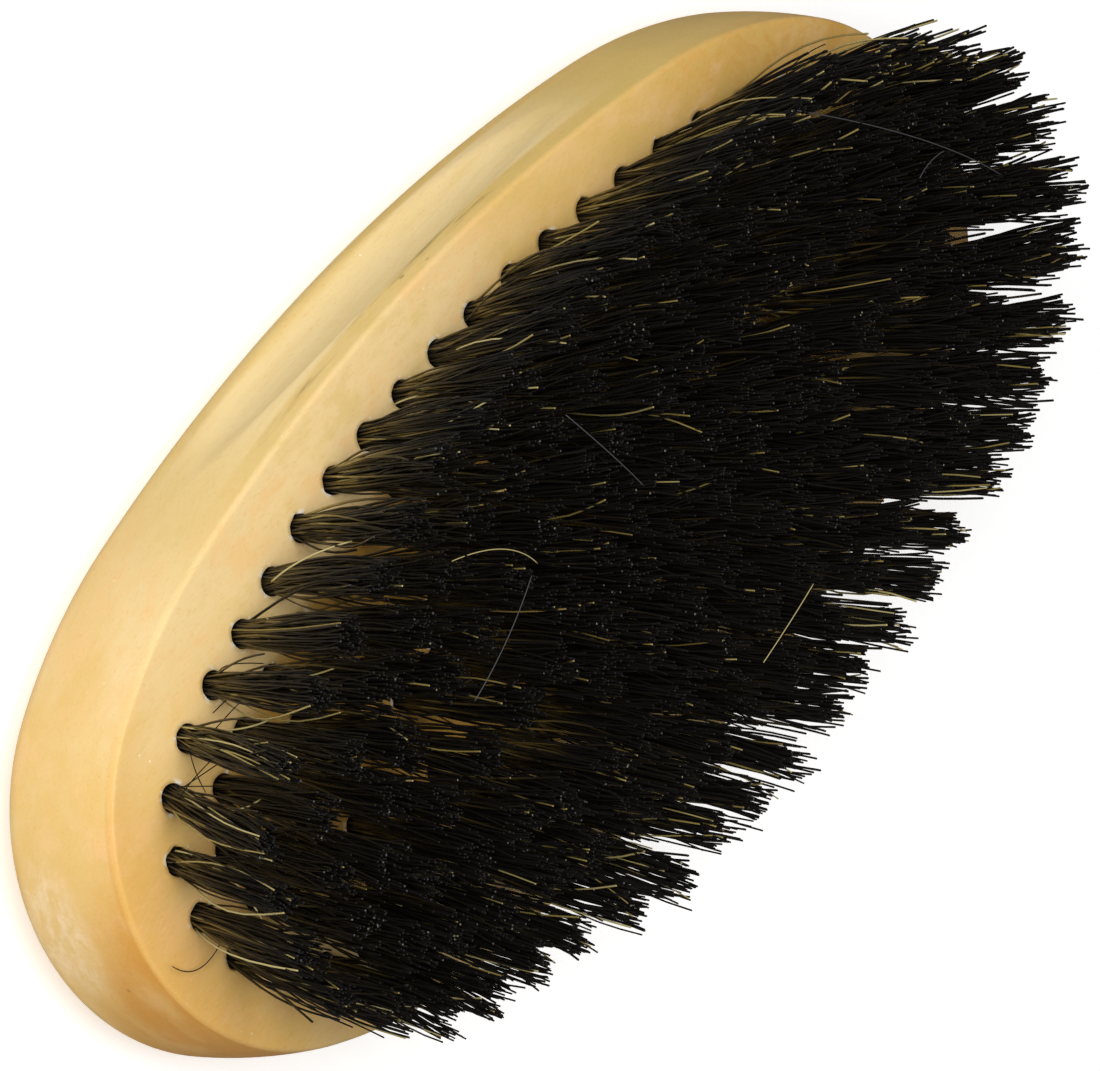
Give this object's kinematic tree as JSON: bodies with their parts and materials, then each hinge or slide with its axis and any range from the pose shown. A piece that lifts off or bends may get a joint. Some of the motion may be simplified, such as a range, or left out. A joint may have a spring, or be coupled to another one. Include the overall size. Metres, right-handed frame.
{
  "type": "beard brush",
  "caption": "Palm-held oval beard brush: a wooden block with a domed back and finger grooves, filled with rings of dark boar bristle tufts held by wire anchors.",
  "frame": {"origin": "middle of the flat land on the back of the block, which is the bottom centre of the whole brush", "axes": "+X along the length of the brush, +Y across it, +Z out of the bristle face along the bristles"},
  "size_m": [0.1222, 0.0556, 0.037],
  "materials": {
    "wood": "satin varnish",
    "bristle": "natural boar hair",
    "anchor_wire": "flat drawn wire"
  },
  "bodies": {
    "root": {"wood_block": "wood", "ring_1_tufts_1": "bristle", "ring_1_tufts_2": "bristle", "ring_1_tufts_3": "bristle", "ring_1_tufts_4": "bristle", "ring_1_tufts_5": "bristle", "ring_1_tufts_6": "bristle", "ring_1_tufts_7": "bristle", "ring_1_tufts_8": "bristle", "ring_2_tufts_1": "bristle", "ring_2_tufts_2": "bristle", "ring_2_tufts_3": "bristle", "ring_2_tufts_4": "bristle", "ring_2_tufts_5": "bristle", "ring_2_tufts_6": "bristle", "ring_2_tufts_7": "bristle", "ring_2_tufts_8": "bristle", "ring_3_tufts_1": "bristle", "ring_3_tufts_2": "bristle", "ring_3_tufts_3": "bristle", "ring_3_tufts_4": "bristle", "ring_3_tufts_5": "bristle", "ring_3_tufts_6": "bristle", "inner_row_tufts_front": "bristle", "inner_row_tufts_back": "bristle", "centre_row_tufts_1": "bristle", "centre_row_tufts_2": "bristle", "ring_1_anchors": "anchor_wire", "ring_2_anchors": "anchor_wire", "ring_3_anchors": "anchor_wire", "inner_row_anchors": "anchor_wire", "centre_row_anchors": "anchor_wire"}
  },
  "joints": []
}
